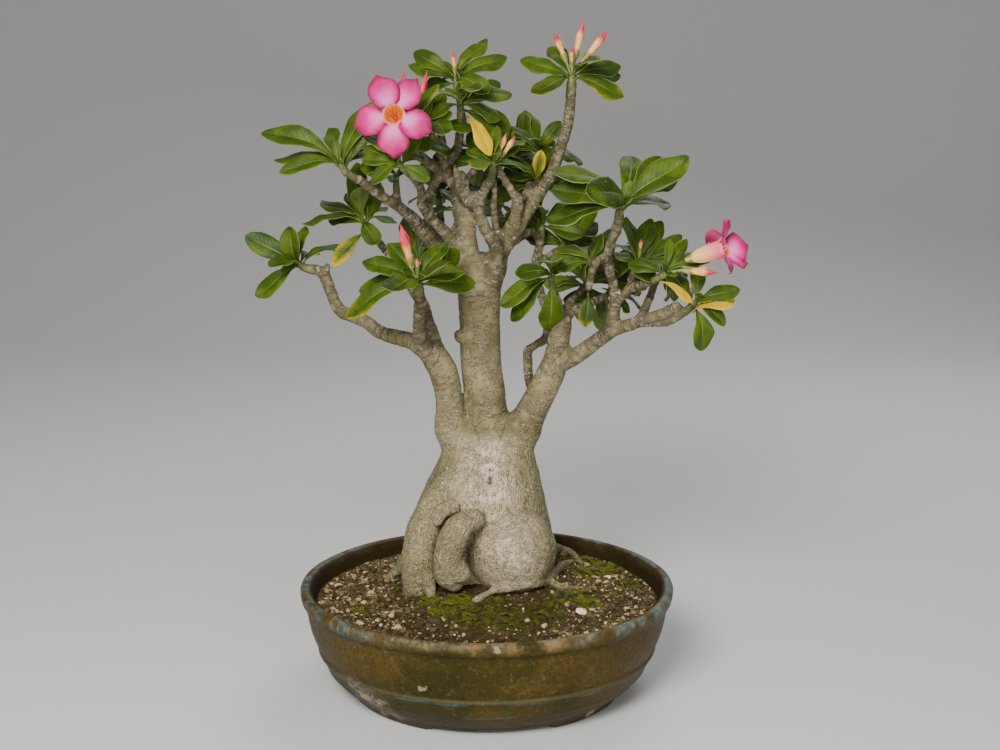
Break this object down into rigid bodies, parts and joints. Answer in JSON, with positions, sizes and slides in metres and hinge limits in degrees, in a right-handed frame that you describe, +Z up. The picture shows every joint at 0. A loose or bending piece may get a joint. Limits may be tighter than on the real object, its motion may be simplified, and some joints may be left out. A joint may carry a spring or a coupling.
{
  "type": "desert rose bonsai",
  "caption": "Potted desert rose bonsai: a swollen trunk with bare roots and branching limbs, leaf rosettes, pink trumpet flowers and buds, in a round glazed footed pot.",
  "frame": {"origin": "on the ground, on the pot's axis, which is also the middle of the whole thing's outline in plan", "axes": "+Z up along the pot's axis, -Y towards the front that the picture shows, +X to its right"},
  "size_m": [0.3629, 0.28, 0.4927],
  "materials": {
    "glaze": "gloss",
    "potting_mix": "matte",
    "screen_plastic": "matte",
    "bark": "matte",
    "leaf_green": "satin",
    "leaf_yellow": "satin",
    "bud_pink": "satin",
    "petal_pink": "satin"
  },
  "bodies": {
    "root": {"bloom_left": "petal_pink", "bloom_right": "petal_pink", "bud_bloom_arm_a": "bud_pink", "bud_bloom_arm_b": "bud_pink", "bud_crown_back": "bud_pink", "bud_front_left": "bud_pink", "bud_front_left_small": "bud_pink", "bud_main_arm_a": "bud_pink", "bud_main_arm_b": "bud_pink", "bud_main_top_a": "bud_pink", "bud_main_top_b": "bud_pink", "bud_main_top_c": "bud_pink", "bud_main_top_d": "bud_pink", "bud_right_bloom": "bud_pink", "bud_right_middle": "bud_pink", "desert_rose_wood": "bark", "drain_screen": "screen_plastic", "leaf_hanging": "leaf_yellow", "leaves_back_high": "leaf_green", "leaves_back_left": "leaf_green", "leaves_back_middle": "leaf_green", "leaves_back_right": "leaf_green", "leaves_bloom_arm": "leaf_green", "leaves_crown_back": "leaf_green", "leaves_crown_centre": "leaf_green", "leaves_crown_inner": "leaf_green", "leaves_crown_left": "leaf_green", "leaves_crown_top": "leaf_green", "leaves_far_left": "leaf_green", "leaves_far_right": "leaf_green", "leaves_front_left": "leaf_green", "leaves_inner_low": "leaf_green", "leaves_left_bloom": "leaf_green", "leaves_left_high": "leaf_green", "leaves_left_inner": "leaf_green", "leaves_left_low": "leaf_green", "leaves_main_arm": "leaf_green", "leaves_main_back": "leaf_green", "leaves_main_low": "leaf_green", "leaves_main_top": "leaf_green", "leaves_main_twig": "leaf_green", "leaves_olive_twig": "leaf_green", "leaves_right_back": "leaf_green", "leaves_right_bloom": "leaf_green", "leaves_right_front": "leaf_green", "leaves_right_low": "leaf_green", "leaves_right_middle": "leaf_green", "leaves_right_short": "leaf_green", "leaves_right_side": "leaf_green", "leaves_right_tall": "leaf_green", "pot": "glaze", "soil": "potting_mix", "yellow_leaf_crown": "leaf_yellow", "yellow_leaf_far_right": "leaf_yellow", "yellow_leaf_left": "leaf_yellow", "yellow_leaf_right": "leaf_yellow", "yellow_leaf_twig": "leaf_yellow"}
  },
  "joints": []
}
